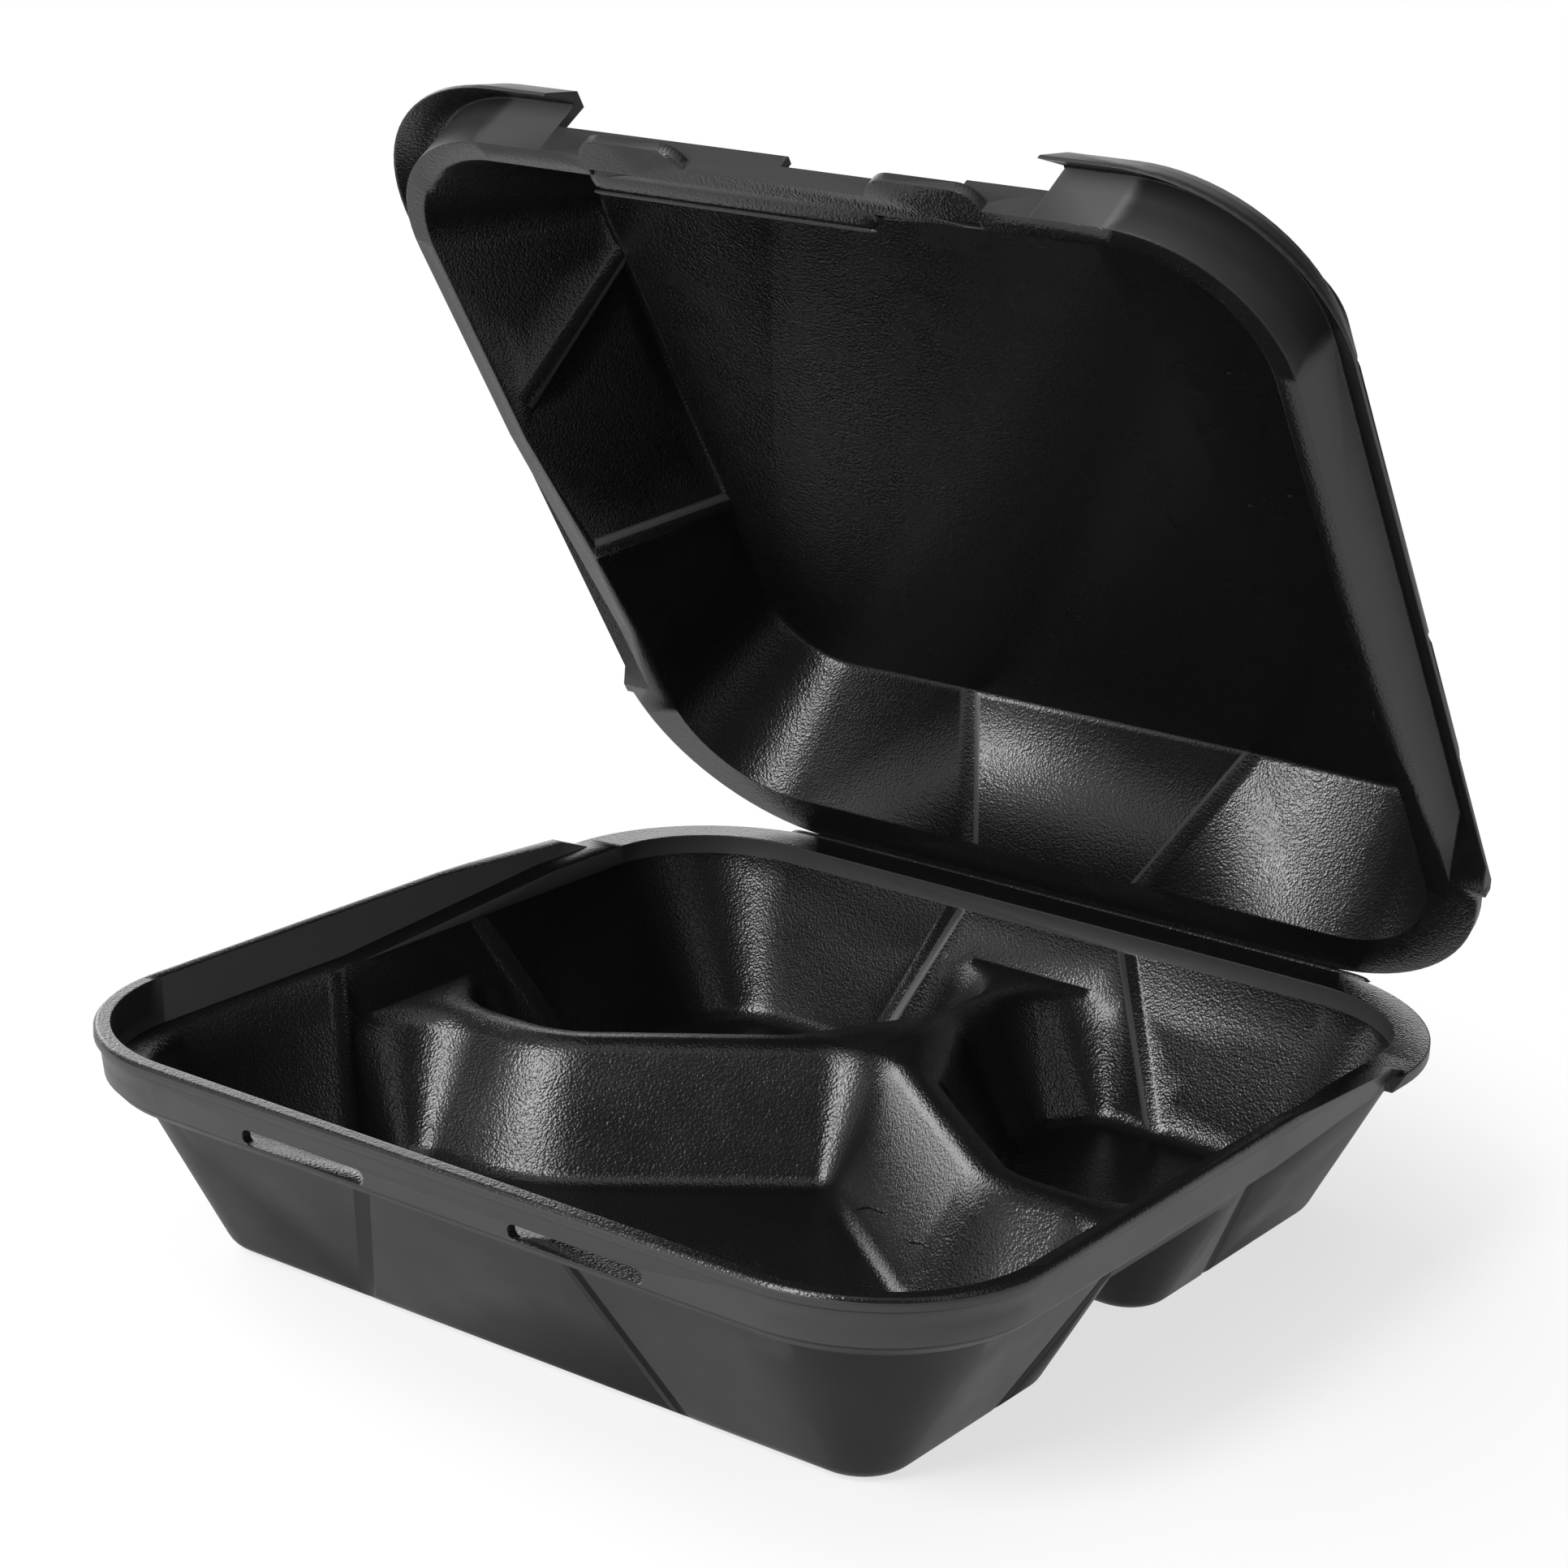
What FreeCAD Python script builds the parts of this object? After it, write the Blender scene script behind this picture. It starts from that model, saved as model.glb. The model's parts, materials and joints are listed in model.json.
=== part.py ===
import FreeCAD, Part
import math
import os
import re
import Sketcher

# Foam clamshell container: a three compartment tray and its lid, one moulded sheet parted at the hinge crease.
# Frame: X across, Y towards the hinge, Z up. The origin is under the middle of the tray, on the plane it rests on.
# The lid is drawn shut on the tray and then turned open about the crease.

SIZES = {
    # the sheet and the hinge
    "sheet": (2.5, "thickness of the foam sheet"),
    "hinge_y": (116.74, "crease behind the tray's centre"),
    "hinge_z": (46.65, "crease above the resting plane"),
    "crease_gap": (0.1, "each half stops this short of the crease"),
    "seat_gap": (0.3, "clearance between the shut halves"),
    "lid_open": (55.67, "angle of the lid in the stored pose"),
    # inner outline of the ledge, shared by both halves
    "half_in": (106.5, "inner edge of the ledge from the middle"),
    "front_in": (107.0, "inner edge of the ledge at the front"),
    "back_in": (105.4, "inner edge of the back flange"),
    "corner_in": (29.75, "front corner radius of the inner edge"),
    "back_corner_in": (31.0, "back corner radius of the inner edge"),
    # tray walls
    "draft": (28.0, "lean of the front and side walls"),
    "back_draft": (15.0, "lean of the back wall"),
    "floor_round": (5.0, "rounding along the compartment floors"),
    "foot_round": (6.0, "rounding along the underside"),
    # ledge, ramp and lip
    "ledge_z": (41.8, "height of the front ledge"),
    "ramp_front": (-20.0, "where the ledge starts to climb"),
    "ramp_back": (50.0, "where the ledge reaches the flange"),
    "ledge_width": (5.7, "ledge out to the foot of the lip"),
    "lip_lean": (0.8, "lean of the inner face of the lip"),
    "lip_z": (52.2, "top of the lip at the front"),
    "lip_back_z": (49.7, "top of the lip where its end slope starts"),
    "lip_fall_y": (16.0, "where the lip starts to fall"),
    "lip_slope_y": (61.0, "where the end slope starts"),
    "lip_end_y": (70.0, "where the lip runs out"),
    "shoulder_z": (41.6, "height of the shoulder line"),
    "foot_reach": (5.8, "underside of the ledge outward"),
    "shoulder_reach": (7.9, "shoulder outward of the inner edge"),
    "band_reach": (8.9, "top of the outer band outward"),
    "lip_reach": (10.0, "bead outward of the inner edge"),
    "bead_height": (3.2, "height of the bead"),
    "bead_ease": (0.7, "slope above and below the bead"),
    "flange_start": (62.0, "where the flat flange starts"),
    "flange_corner": (48.0, "back corner radius of the flange"),
    # latch slots
    "slot_x": (35.1, "slot centre from the middle"),
    "slot_width": (33.0, "width of a latch slot"),
    "slot_low": (41.8, "lower edge of a slot"),
    "slot_high": (45.3, "upper edge of a slot"),
    # divider between the compartments
    "divider_z": (31.5, "top of the divider"),
    "divider_draft": (27.5, "lean of the divider's sides"),
    "divider_ease": (1.4, "rounding of the divider's top"),
    "ease_depth": (2.8, "height of that rounding"),
    "arm_y": (-6.5, "centre line of the side arms"),
    "arm_half": (4.0, "half width of the side arms"),
    "diagonal_angle": (39.2, "slope of the diagonals"),
    "diagonal_reach": (33.4, "diagonal from the centre"),
    "diagonal_half": (3.5, "half width of the diagonals"),
    "fork_angle": (63.0, "slope beside the fork"),
    "fork_reach": (32.0, "fork side from the centre"),
    "stem_half": (2.8, "half width of the stem"),
    "spread_angle": (33.0, "slope where the stem meets the back wall"),
    "spread_reach": (44.8, "that slope from the centre"),
    "tip_round": (3.4, "floor radius of the front compartment's tip"),
    "pocket_round": (7.5, "floor radius of the compartment corners"),
    "bend_round": (32.0, "top radius of the bends"),
    # ribs
    "rib_radius": (2.5, "radius of a rib groove"),
    "rib_depth": (0.9, "depth of a rib groove"),
    "rib_top": (24.0, "rib from the wall's middle at the rim"),
    "rib_bottom": (42.0, "rib from the wall's middle at the base"),
    "rib_middle": (-4.0, "middle of the side walls"),
    # lid
    "lid_depth": (35.7, "inner face of the panel above the crease"),
    "lid_draft": (16.2, "lean of the lid's sides"),
    "lid_back_draft": (20.4, "lean of the lid's back wall"),
    "lid_front_draft": (40.0, "lean of the lid's front wall"),
    "lid_round": (1.6, "rounding round the panel"),
    "ridge_width": (4.6, "flat of the mating ridge"),
    "ridge_lean": (0.4, "lean of the ridge's outer face"),
    "channel_wall": (1.9, "wall between the channel and the gutter"),
    "gutter_roof": (9.8, "top of the gutter above the crease"),
    "gutter_flat": (0.7, "flat at the top of the gutter"),
    "skirt_cover": (3.0, "lid edge outward of the tray's lip"),
    "skirt_edge": (1.0, "thickness of the pressed edge of the skirt"),
    "skirt_z": (3.0, "lid edge above the crease"),
    "gutter_end": (44.0, "gutter starts this far from the crease"),
    "gutter_rise": (16.0, "length of the slope at the gutter's end"),
    "lid_flange_half": (118.0, "half width of the lid's flange"),
    "skirt_half": (61.0, "corner skirts start this far out"),
    "brow": (3.5, "front wall above the crease"),
    "brow_dip": (3.1, "lower stretch of the front wall"),
    "dip_left": (-1.0, "left end of the lower stretch"),
    "dip_right": (42.0, "right end of the lower stretch"),
    # locking tabs
    "tab_x": (36.2, "tab centre from the middle"),
    "tab_width": (28.0, "width of a tab"),
    "tab_reach": (9.0, "tab outward of the ridge's inner edge"),
    "tab_round": (6.0, "corner radius of a tab"),
    "pocket_width": (20.0, "width of the cut at a tab's foot"),
    "pocket_height": (4.2, "depth of that cut"),
    "far": (200.0, "reach of the cutting blocks"),
}

doc = FreeCAD.newDocument("clamshell")


def write_sizes():
    """Writes the driving sizes to a spreadsheet, one named cell each."""
    sheet = doc.addObject("Spreadsheet::Sheet", "Sizes")
    for row, (name, (value, note)) in enumerate(SIZES.items(), start=1):
        sheet.set(f"A{row}", note)
        sheet.set(f"B{row}", str(value))
        sheet.setAlias(f"B{row}", name)
    doc.recompute()
    return sheet


sizes = write_sizes()


def sized(formula):
    """Puts the sheet's name before every size in a formula."""
    return re.sub("[a-z_]+", lambda word: f"Sizes.{word[0]}" if word[0] in SIZES else word[0], formula)


def value(formula):
    """Works a formula of sizes out as a number."""
    return float(sizes.evalExpression(sized(formula)))


def bind(target, **formulas):
    """Binds properties of an object to formulas of sizes."""
    for name, formula in formulas.items():
        target.setExpression(name.replace("__", "."), sized(formula))


def constrain(sketch, name, formula, *what):
    """Adds one driving dimension to a sketch and binds it."""
    index = sketch.addConstraint(Sketcher.Constraint(*what, value(formula)))
    sketch.renameConstraint(index, name)
    sketch.setExpression(f"Constraints.{name}", sized(formula))


def rounded(name, base, radius, chosen):
    """Rounds the edges of a solid whose bounding box is chosen."""
    doc.recompute()
    edges = [index for index, edge in enumerate(base.Shape.Edges, start=1) if chosen(edge.BoundBox)]
    result = doc.addObject("Part::Fillet", name)
    result.Base = base
    result.Edges = [(index, value(radius), value(radius)) for index in edges]
    return result


def outline(name, level, half, front, back, front_radius, back_radius):
    """Draws a rounded rectangle at a level, with its own radius at the front and at the back corners."""
    sketch = doc.addObject("Sketcher::SketchObject", name)
    wide, near, rear = value(half), -value(front), value(back)
    round_near, round_rear = value(front_radius), value(back_radius)
    corners = [(wide - round_near, near + round_near, round_near, -90),
               (wide - round_rear, rear - round_rear, round_rear, 0),
               (round_rear - wide, rear - round_rear, round_rear, 90),
               (round_near - wide, near + round_near, round_near, 180)]
    arcs = [corner_arc(*corner) for corner in corners]
    shapes = []
    for index, arc in enumerate(arcs):
        before = arcs[index - 1]
        shapes += [Part.LineSegment(before.EndPoint, arc.StartPoint), arc]
    sketch.addGeometry(shapes, False)
    count = len(shapes)
    for index in range(count):
        sketch.addConstraint(Sketcher.Constraint("Tangent", index, 2, (index + 1) % count, 1))
    for index, way in enumerate(("Horizontal", "Vertical", "Horizontal", "Vertical")):
        sketch.addConstraint(Sketcher.Constraint(way, 2 * index))
    constrain(sketch, "right", half, "DistanceX", -1, 1, 2, 1)
    constrain(sketch, "left", half, "DistanceX", 6, 1, -1, 1)
    constrain(sketch, "front", front, "DistanceY", 0, 1, -1, 1)
    constrain(sketch, "back", back, "DistanceY", -1, 1, 4, 1)
    radii = (front_radius, back_radius, back_radius, front_radius)
    for index, radius in enumerate(radii):
        constrain(sketch, f"round{index}", radius, "Radius", 2 * index + 1)
    bind(sketch, Placement__Base__z=level)
    return sketch


def corner_arc(x, y, radius, start):
    """Makes a quarter circle that starts at an angle in degrees."""
    circle = Part.Circle(FreeCAD.Vector(x, y, 0), FreeCAD.Vector(0, 0, 1), radius)
    return Part.ArcOfCircle(circle, math.radians(start), math.radians(start + 90))


def profile(name, points):
    """Draws a closed polygon in the plane across the hinge from pairs of formulas for Y and Z."""
    sketch = doc.addObject("Sketcher::SketchObject", name)
    places = [FreeCAD.Vector(value(y), value(z), 0) for y, z in points]
    count = len(places)
    sketch.addGeometry([Part.LineSegment(places[i], places[(i + 1) % count]) for i in range(count)], False)
    for index, (y, z) in enumerate(points):
        sketch.addConstraint(Sketcher.Constraint("Coincident", index - 1 if index else count - 1, 2, index, 1))
        constrain(sketch, f"y{index}", y, "DistanceX", -1, 1, index, 1)
        constrain(sketch, f"z{index}", z, "DistanceY", -1, 1, index, 1)
    sketch.Placement = FreeCAD.Placement(FreeCAD.Vector(), FreeCAD.Rotation(FreeCAD.Vector(1, 1, 1), 120))
    return sketch


def side_block(name, points, left="far", right="far"):
    """Pushes a polygon across the part, from left of the middle to right of it."""
    block = doc.addObject("Part::Extrusion", name)
    block.Base = profile(f"{name}_profile", points)
    block.DirMode = "Custom"
    block.Dir = FreeCAD.Vector(1, 0, 0)
    block.Solid = True
    bind(block, LengthFwd=right, LengthRev=left)
    return block


def loft(name, sections):
    """Joins outlines with straight sided walls. A section is a level and the sizes of its outline."""
    result = doc.addObject("Part::Loft", name)
    result.Sections = [outline(f"{name}_{index}", level, *shape) for index, (level, shape) in enumerate(sections)]
    result.Solid = True
    result.Ruled = True
    return result


def fuse(name, pieces):
    """Joins solids into one."""
    result = doc.addObject("Part::MultiFuse", name)
    result.Shapes = pieces
    return result


def common(name, pieces):
    """Keeps what solids share."""
    result = doc.addObject("Part::MultiCommon", name)
    result.Shapes = pieces
    return result


def cut(name, base, tool):
    """Takes one solid from another."""
    result = doc.addObject("Part::Cut", name)
    result.Base = base
    result.Tool = tool
    return result


def rim_outline(grow):
    """Gives the ledge's inner outline, grown outward."""
    return (f"half_in + ({grow})", f"front_in + ({grow})", f"back_in + ({grow})",
            f"corner_in + ({grow})", f"back_corner_in + ({grow})")


def tray_outline(level, grow="0"):
    """Gives the tray's drafted inner outline at a level, grown outward."""
    side = f"(ledge_z - ({level})) * tan(draft)"
    back = f"(ledge_z - ({level})) * tan(back_draft)"
    return (f"half_in - {side} + {grow}", f"front_in - {side} + {grow}", f"back_in - {back} + {grow}",
            f"corner_in - {side} + {grow}", f"back_corner_in - ({side} + {back}) / 2 + {grow}")


def lid_outline(level, skin="0"):
    """Gives the lid's drafted inner outline at a level, moved outward by a thickness square to each wall."""
    side, front, back = (f"({level} - ledge_z) * tan({lean}) - ({skin}) / cos({lean})"
                         for lean in ("lid_draft", "lid_front_draft", "lid_back_draft"))
    return (f"half_in - ({side})", f"front_in - ({front})", f"back_in - ({back})",
            f"corner_in - ({side})", f"back_corner_in - ({side})")


def meet(first, second):
    """Finds where two lines meet. A line is its outward normal and its distance from the origin."""
    (ax, ay, ac), (bx, by, bc) = first, second
    scale = ax * by - ay * bx
    return FreeCAD.Vector((ac * by - bc * ay) / scale, (ax * bc - bx * ac) / scale, 0)


def rounded_wire(lines, radii, level):
    """Draws a closed outline from lines taken in turn, with a round at each corner."""
    count = len(lines)
    corners = [meet(lines[i - 1], lines[i]) for i in range(count)]
    edges = []
    ends = []
    for index, corner in enumerate(corners):
        back = (corners[index - 1] - corner).normalize()
        ahead = (corners[(index + 1) % count] - corner).normalize()
        half_turn = back.getAngle(ahead) / 2
        middle = (back + ahead).normalize()
        trim = radii[index] / math.tan(half_turn)
        heart = corner + middle * (radii[index] / math.sin(half_turn))
        ends.append((corner + back * trim, heart - middle * radii[index], corner + ahead * trim))
    for index, (start, mid, finish) in enumerate(ends):
        edges.append(Part.Arc(start, mid, finish).toShape())
        edges.append(Part.LineSegment(finish, ends[(index + 1) % count][0]).toShape())
    wire = Part.Wire(edges)
    wire.translate(FreeCAD.Vector(0, 0, level))
    return wire


def divider_inset(level):
    """Gives how far the divider's sides stand out at a level below its top."""
    return value(f"(divider_z - ({level})) * tan(divider_draft)")


def front_compartment(level, grow):
    """Gives the lines and radii of the front compartment at a level, grown outward."""
    inset = divider_inset(level) - grow
    half, front, back, near_round, rear_round = (value(item) for item in tray_outline(level))
    angle = math.radians(value("diagonal_angle"))
    arm = (0, 1, value("arm_y - arm_half") - inset)
    reach = value("diagonal_reach - diagonal_half") - inset
    lines = [(0, -1, front + grow), (1, 0, half + grow), arm, (math.sin(angle), math.cos(angle), reach),
             (-math.sin(angle), math.cos(angle), reach), arm, (-1, 0, half + grow)]
    full = divider_inset(value("sheet"))
    corner = value("pocket_round") + full - inset
    tip = value("tip_round") + full - inset
    bend = value("bend_round") + inset
    wall = near_round + grow
    return lines, [wall, wall, corner, bend, tip, bend, corner]


def back_compartment(level, grow):
    """Gives the lines and radii of the back left compartment at a level, grown outward."""
    inset = divider_inset(level) - grow
    half, front, back, near_round, rear_round = (value(item) for item in tray_outline(level))
    slopes = [math.radians(value(name)) for name in ("diagonal_angle", "fork_angle", "spread_angle")]
    diagonal, fork, spread = [(math.cos(angle), math.sin(angle)) for angle in slopes]
    lines = [(0, -1, -value("arm_y + arm_half") - inset),
             (diagonal[1], -diagonal[0], -value("diagonal_reach + diagonal_half") - inset),
             (fork[1], -fork[0], -value("fork_reach") - inset),
             (1, 0, -value("stem_half") - inset),
             (spread[0], spread[1], value("spread_reach") - inset),
             (0, 1, back + grow),
             (-1, 0, half + grow)]
    full = divider_inset(value("sheet"))
    corner = value("pocket_round") + full - inset
    return lines, [corner, corner, corner, corner, corner, corner, rear_round + grow]


def pocket(lines_at, levels, grow, rounding):
    """Makes a drafted pocket between two levels and rounds its lower edge."""
    wires = [rounded_wire(*lines_at(level, grow), level) for level in levels]
    solid = Part.makeLoft(wires, True, True)
    if rounding:
        low = [edge for edge in solid.Edges if edge.BoundBox.ZMax < min(levels) + value("seat_gap")]
        solid = solid.makeFillet(rounding, low)
    return solid


def pocket_set(name, levels, grow, rounding):
    """Makes the three pockets at the same levels and joins them."""
    front = pocket(front_compartment, levels, grow, rounding)
    left = pocket(back_compartment, levels, grow, rounding)
    right = left.mirror(FreeCAD.Vector(), FreeCAD.Vector(1, 0, 0))
    result = []
    for side, shape in (("front", front), ("left", left), ("right", right)):
        item = doc.addObject("Part::Feature", f"{name}_{side}")
        item.Shape = shape
        result.append(item)
    return result


def eased_pockets():
    """Makes the flares that take the edges off the divider's top, kept inside the tray's walls."""
    levels = [value("divider_z - ease_depth"), value("divider_z")]
    flares = []
    for side, lines_at in (("front", front_compartment), ("left", back_compartment)):
        low = rounded_wire(*lines_at(levels[0], -value("crease_gap")), levels[0])
        high = rounded_wire(*lines_at(levels[1], value("divider_ease")), levels[1])
        flares.append(Part.makeLoft([low, high], True, True))
    flares.append(flares[-1].mirror(FreeCAD.Vector(), FreeCAD.Vector(1, 0, 0)))
    items = []
    for index, shape in enumerate(flares):
        item = doc.addObject("Part::Feature", f"flare_{index}")
        item.Shape = shape
        items.append(item)
    bound = loft("flare_bound", [("divider_z - 2 * ease_depth", tray_outline("divider_z - 2 * ease_depth")),
                                 ("divider_z", tray_outline("divider_z"))])
    return [common(f"ease_{index}", [item, bound]) for index, item in enumerate(items)]


def rib(name, start, finish, radius):
    """Makes a round bar from one point to another."""
    bar = doc.addObject("Part::Cylinder", name)
    way = finish - start
    bind(bar, Radius=radius)
    bar.Height = way.Length
    bar.Placement = FreeCAD.Placement(start, FreeCAD.Rotation(FreeCAD.Vector(0, 0, 1), way))
    return bar


def rib_set(name, outline_at, levels, offsets, skin, radius):
    """Makes a pair of bars down each of the four walls. They part from the rim to the base."""
    bars = []
    for wall in ("front", "back", "left", "right"):
        for side in (-1, 1):
            ends = [rib_point(outline_at, level, side * offset, wall, skin)
                    for level, offset in zip(levels, offsets)]
            bars.append(rib(f"{name}_{wall}_{'low' if side < 0 else 'high'}", *ends, radius))
    return bars


def rib_point(outline_at, level, along, wall, skin):
    """Finds one end of a rib's axis."""
    half, front, back, near_round, rear_round = (value(item) for item in outline_at(str(level), skin))
    middle = value("rib_middle")
    places = {"front": (along, -front), "back": (along, back),
              "left": (-half, middle + along), "right": (half, middle + along)}
    return FreeCAD.Vector(*places[wall], level)


def tray_ribs(name, radius):
    """Makes the rib bars of the tray, run past both ends of the walls."""
    top, low = value("ledge_z"), -value("rib_radius")
    spread = value("rib_bottom - rib_top") / value("ledge_z")
    offsets = [value("rib_top"), value("rib_bottom") + spread * value("rib_radius")]
    return rib_set(name, tray_outline, [top, low], offsets, "sheet / cos(draft) + rib_radius - rib_depth", radius)


def lid_ribs(name, radius):
    """Makes the rib bars of the lid, from the crease level past the panel."""
    low, top = value("hinge_z"), value("hinge_z + lid_depth + sheet + rib_radius")
    offsets = [value("rib_top"), value("rib_bottom")]
    return rib_set(name, lid_outline, [low, top], offsets, "sheet + rib_radius - rib_depth", radius)


def tray_walls():
    """Makes the outer body of the tray: three feet, the wall over them and the grooves of the ribs."""
    under = value("divider_z - sheet")
    skin = value("sheet / cos(draft)")
    feet = pocket_set("foot", [0, under], skin, value("foot_round"))
    level = "divider_z - sheet"
    grow = "sheet / cos(draft)"
    wall = loft("wall", [(level, tray_outline(level, grow)), ("ledge_z", rim_outline(grow)),
                         ("hinge_z - seat_gap / 2", rim_outline(grow))])
    body = fuse("walls", feet + [wall])
    grooves = fuse("grooves", tray_ribs("groove", "rib_radius"))
    return cut("grooved_walls", body, grooves)


def tray_rim():
    """Makes the ledge, the lip with its bead and the flat flange round the back."""
    low = "ledge_z - sheet"
    bead = "lip_z - bead_height"
    band = loft("band", [(low, rim_outline("foot_reach")), ("shoulder_z", rim_outline("shoulder_reach")),
                         (bead, rim_outline("band_reach")), (f"{bead} + bead_ease", rim_outline("lip_reach")),
                         ("lip_z - bead_ease", rim_outline("lip_reach")),
                         ("lip_z", rim_outline("lip_reach - bead_ease"))])
    flange_z = "hinge_z - seat_gap / 2"
    shape = [("- far", low), ("ramp_front", low), ("ramp_back", f"{flange_z} - sheet"),
             ("lip_end_y", f"{flange_z} - sheet"), ("lip_end_y", flange_z), ("lip_slope_y", "lip_back_z"),
             ("lip_fall_y", "lip_z"), ("- far", "lip_z")]
    lip = common("lip", [band, side_block("lip_side", shape)])
    back = "hinge_y - crease_gap"
    plan = ("half_in + lip_reach", "front_in + lip_reach", back, "corner_in + lip_reach", "flange_corner")
    plate = loft("plate", [(f"{flange_z} - sheet", plan), (flange_z, plan)])
    behind = [("flange_start", "0"), ("far", "0"), ("far", "far"), ("flange_start", "far")]
    flange = common("flange", [plate, side_block("behind", behind)])
    return [lip, flange]


def tray_space():
    """Makes everything that is taken out of the tray: compartments, mouth, the step over the ledge and slots."""
    floor = value("sheet")
    pockets = pocket_set("pocket", [floor, value("divider_z")], 0, value("floor_round"))
    upper = loft("upper", [("divider_z", tray_outline("divider_z")), ("ledge_z", tray_outline("ledge_z"))])
    hollow = fuse("hollow", pockets + [upper] + eased_pockets())
    ribs = fuse("inner_ribs", tray_ribs("inner_rib", "rib_radius + sheet"))
    ribbed = cut("ribbed_hollow", hollow, ribs)
    throat = loft("throat", [("ledge_z", rim_outline("0")), ("lip_z + sheet", rim_outline("0"))])
    step = loft("step", [("ledge_z", rim_outline("ledge_width")),
                         ("lip_z", rim_outline("ledge_width + lip_lean")),
                         ("lip_z + sheet", rim_outline("ledge_width + lip_lean"))])
    flange_z = "hinge_z - seat_gap / 2"
    above = [("- far", "ledge_z"), ("ramp_front", "ledge_z"), ("ramp_back", flange_z), ("far", flange_z),
             ("far", "far"), ("- far", "far")]
    ledge = common("over_ledge", [step, side_block("above_ledge", above)])
    return [ribbed, throat, ledge] + [slot(side) for side in (-1, 1)]


def slot(side):
    """Makes one latch slot through the front lip, with round ends."""
    name = "slot_left" if side < 0 else "slot_right"
    block = doc.addObject("Part::Box", f"{name}_block")
    bind(block, Length="slot_width", Width="lip_reach * 2", Height="slot_high - slot_low")
    centre = f"{'-' if side < 0 else ''} slot_x - slot_width / 2"
    bind(block, Placement__Base__x=centre, Placement__Base__y="- front_in - ledge_width - lip_reach * 1.5",
         Placement__Base__z="slot_low")
    return rounded(name, block, "(slot_high - slot_low) * 0.48", lambda box: box.YLength > value("lip_reach"))


def make_tray():
    """Joins the outside of the tray and takes its inside out."""
    outside = fuse("tray_outside", [tray_walls()] + tray_rim())
    tray = cut("tray", outside, fuse("tray_inside", tray_space()))
    tray.Label = "tray"
    return tray


def lid_dome():
    """Makes the outside and the inside of the lid's dome, both with the ribs."""
    top = "hinge_z + lid_depth"
    low = "ledge_z - sheet"
    crown = f"{top} + sheet"
    outside = loft("dome_outside", [(low, lid_outline(low, "sheet")), (crown, lid_outline(crown, "sheet"))])
    inside = loft("dome_inside", [(low, lid_outline(low)), (top, lid_outline(top))])
    edge = value(top) - value("sheet")
    outside = rounded("dome_outside_round", outside, "lid_round + sheet / 2", lambda box: box.ZMin > edge)
    inside = rounded("dome_inside_round", inside, "lid_round", lambda box: box.ZMin > edge)
    outer = cut("grooved_dome", outside, fuse("lid_grooves", lid_ribs("lid_groove", "rib_radius")))
    inner = cut("ribbed_dome", inside, fuse("lid_inner_ribs", lid_ribs("lid_rib", "rib_radius + sheet")))
    return outer, inner


def ramp(low, high):
    """Gives the climb from the front ledge to the flange as points along Y."""
    return [("- far", low), ("ramp_front", low), ("ramp_back", high), ("far", high)]


def lid_rim():
    """Makes the rim of the lid: the channel floor behind the ridge, the gutter's cover and the flat flange."""
    low = "ledge_z + seat_gap"
    high = "hinge_z + seat_gap / 2"
    plan = rim_outline("ridge_width")
    block = loft("ridge_block", [("ledge_z - sheet", plan), ("hinge_z + sheet * 2", plan)])
    floor = [("far", "0"), ("- far", "0")] + ramp(f"{low} + sheet", f"{high} + sheet")
    ridge = common("ridge", [block, side_block("ridge_side", floor)])
    cover = cut("cover", cover_block(), channel_block())
    flat = ("lid_flange_half", "front_in + ridge_width", "hinge_y - crease_gap", "corner_in + ridge_width",
            "flange_corner")
    plate = loft("lid_plate", [(high, flat), (f"{high} + sheet", flat)])
    start = "hinge_y - gutter_end - sheet"
    behind = [(start, "0"), ("far", "0"), ("far", "far"), (start, "far")]
    flange = common("lid_flange", [plate, side_block("lid_behind", behind)])
    return [ridge, cover, flange]


def skirt_reach():
    """Gives the lid's edge outward of the ledge's inner edge."""
    return "lip_reach + skirt_cover"


def skirt_slope():
    """Gives the fall of the skirt for each millimetre outward."""
    return "(gutter_roof - skirt_z) / (lip_reach + skirt_cover - ridge_width - ridge_lean - gutter_flat)"


def cover_block():
    """Makes the outside of the gutter and its sloping skirt, with a slope at its back end."""
    edge = "hinge_z + skirt_z + skirt_edge"
    inner = "ridge_width + ridge_lean + gutter_flat + sheet / 2"
    solid = loft("cover_solid", [("ledge_z - sheet", rim_outline(skirt_reach())), (edge, rim_outline(skirt_reach())),
                                 ("hinge_z + gutter_roof + sheet", rim_outline(inner))])
    high = "hinge_z + seat_gap / 2 + sheet"
    top = "hinge_z + gutter_roof + sheet * 2"
    side = [("- far", "0"), ("hinge_y - gutter_end + sheet", "0"), ("hinge_y - gutter_end + sheet", high),
            ("hinge_y - gutter_end - gutter_rise + sheet", top), ("- far", top)]
    return common("cover_limited", [solid, side_block("cover_side", side)])


def channel_block():
    """Makes the space inside the cover, over the channel."""
    plan = rim_outline("ridge_width - channel_wall")
    return loft("channel", [("ledge_z - sheet * 2", plan), ("hinge_z + gutter_roof + sheet * 4", plan)])


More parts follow.
